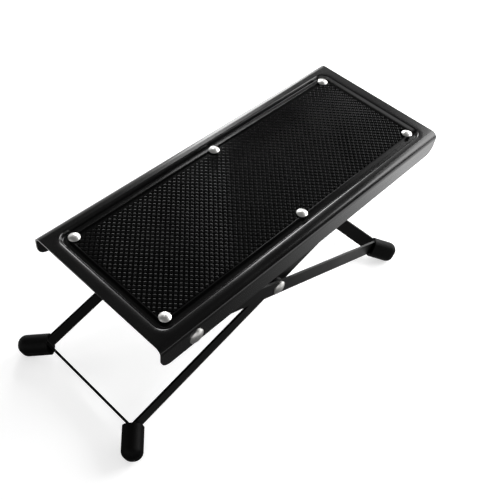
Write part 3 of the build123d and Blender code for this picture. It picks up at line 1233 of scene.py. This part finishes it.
@dataclass(frozen=True)
class Room:
    """A room that is white to the camera and lights the object from all round.

    A glossy surface sees two white backdrops, behind and before the object, and a dark room over it
    and at its sides, as it does where black goods are photographed. A direction is told by its height,
    from 0 at the horizon to 1 overhead, and by how squarely it points at a backdrop, from 0 to 1.
    """

    light_at_horizon: float = 0.2
    light_overhead: float = 0.5
    background: float = 1.0
    dark_wall: float = 0.02
    dark_ceiling: float = 0.09
    wall_top: float = 0.75
    backdrop_middle: tuple[float, float, float] = (0.83, 0.555, 0.0)
    backdrop_side: float = 0.55
    room_side: float = 0.2
    backdrop_top: float = 0.56
    ceiling_edge: float = 0.68

    def build(self) -> None:
        """Make the room the scene's world."""
        world = bpy.data.worlds.new("white_room")
        bpy.context.scene.world = world
        world.use_nodes = True
        tree = world.node_tree
        tree.nodes.clear()
        direction = add_node(tree, "TexCoord").outputs["Generated"]
        height = add_node(tree, "SeparateXYZ", {"Vector": direction}).outputs["Z"]
        falling = add_node(tree, "MapRange", {
            "Value": height,
            "To Min": self.light_at_horizon,
            "To Max": self.light_overhead,
        }).outputs["Result"]
        light = add_node(tree, "MapRange", {
            "Value": mirrored_rays(tree),
            "To Min": falling,
            "To Max": self._seen_in_gloss(tree, direction, height),
        }).outputs["Result"]
        strength = add_node(tree, "MapRange", {
            "Value": add_node(tree, "LightPath").outputs["Is Camera Ray"],
            "To Min": light,
            "To Max": self.background,
        }).outputs["Result"]
        room = add_node(tree, "Background", {"Color": WHITE, "Strength": strength})
        add_node(tree, "OutputWorld", {"Surface": room.outputs["Background"]})
        log.info("%s: light %.1f to %.1f", world.name, self.light_at_horizon, self.light_overhead)

    def _seen_in_gloss(
        self,
        tree: bpy.types.NodeTree,
        direction: bpy.types.NodeSocket,
        height: bpy.types.NodeSocket,
    ) -> bpy.types.NodeSocket:
        """Shape what a glossy surface sees: the backdrops in the dark room.

        Args:
            tree: the world's node tree.
            direction: the way that a ray leaves the surface.
            height: the direction's height.

        Returns:
            The strength of the light in that direction.
        """
        facing = add_node(
            tree,
            "VectorMath",
            {0: direction, 1: Vector(self.backdrop_middle).normalized()},
            operation="DOT_PRODUCT",
        ).outputs["Value"]
        either_way = add_node(tree, "Math", {0: facing}, operation="ABSOLUTE").outputs["Value"]
        sideways = add_node(tree, "MapRange", {
            "Value": either_way,
            "From Min": self.room_side,
            "From Max": self.backdrop_side,
        }).outputs["Result"]
        below_edge = add_node(tree, "MapRange", {
            "Value": height,
            "From Min": self.ceiling_edge,
            "From Max": self.backdrop_top,
        }).outputs["Result"]
        on_backdrop = add_node(
            tree, "Math", {0: sideways, 1: below_edge}, operation="MULTIPLY"
        ).outputs["Value"]
        dark_room = add_node(tree, "MapRange", {
            "Value": height,
            "From Max": self.wall_top,
            "To Min": self.dark_wall,
            "To Max": self.dark_ceiling,
        }).outputs["Result"]
        return add_node(tree, "MapRange", {
            "Value": on_backdrop,
            "To Min": dark_room,
            "To Max": self.background,
        }).outputs["Result"]


@dataclass(frozen=True)
class Floor:
    """The pale floor, which shows near white and keeps the object's shadow."""

    size: float = 8.0
    colour: str = "#d9d9d9"
    lift: float = 0.6

    def build(self) -> None:
        """Lay the floor, lifted to white only for the rays of the camera, mirrors and glass."""
        bpy.ops.mesh.primitive_plane_add(size=self.size)
        floor = bpy.context.active_object
        floor.name = "studio_floor"
        material = bpy.data.materials.new("pale_floor")
        material.use_nodes = True
        tree = material.node_tree
        tree.nodes.clear()
        seen = {0: mirrored_rays(tree), 1: add_node(tree, "LightPath").outputs["Is Camera Ray"]}
        shown = add_node(tree, "Math", seen, operation="MAXIMUM").outputs["Value"]
        lifted = {0: shown, 1: self.lift}
        lift = add_node(tree, "Math", lifted, operation="MULTIPLY").outputs["Value"]
        paint = add_node(tree, "BsdfDiffuse", {"Color": linear(self.colour)})
        glow = add_node(tree, "Emission", {"Color": WHITE, "Strength": lift})
        both = add_node(tree, "AddShader", {0: paint.outputs["BSDF"], 1: glow.outputs["Emission"]})
        add_node(tree, "OutputMaterial", {"Surface": both.outputs["Shader"]})
        floor.data.materials.append(material)
        log.info("%s: %.0f m square", floor.name, self.size)


@dataclass(frozen=True)
class Studio:
    """The camera, the lamps, the card that paints a reflection, the room and the floor.

    The right lamp lights the near flange, the back one draws the glints on the mat's knobs, the rim
    one draws the highlight along the tray's far rim, and the left one fills in the low end.
    """

    camera: Camera = Camera()
    lamps: tuple[Softbox, ...] = (
        Softbox("right_softbox", (0.757, -0.189, 0.42), width=0.75, height=0.74, power=10.6),
        Softbox("back_softbox", (0.45, 0.56, 0.38), width=0.22, height=0.5, power=2.6),
        Softbox(
            "rim_softbox",
            (0.388, 0.492, 0.564),
            width=0.11,
            height=0.2,
            power=0.34,
            aim=(-0.006, 0.046, 0.107),
        ),
        Softbox("left_softbox", (-0.8, 0.25, 0.38), width=0.5, height=0.3, power=0.4),
    )
    card: GlossOnlyReflectionCard = GlossOnlyReflectionCard()
    room: Room = Room()
    floor: Floor = Floor()

    def build(self) -> None:
        """Set the studio up round the object, and show its colours as they are."""
        for item in (self.camera, *self.lamps, self.card, self.room, self.floor):
            item.build()
        bpy.context.scene.view_settings.view_transform = "Standard"


def main() -> None:
    """Build the footrest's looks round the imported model, then the studio."""
    logging.basicConfig(level=logging.INFO, format="%(message)s")
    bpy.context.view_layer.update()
    shop = PaintShop()
    Tray(shop).build()
    LegFrames(shop).build()
    Studio().build()
    bpy.context.view_layer.update()
    log.info("boxes written")


if __name__ == "__main__":
    main()
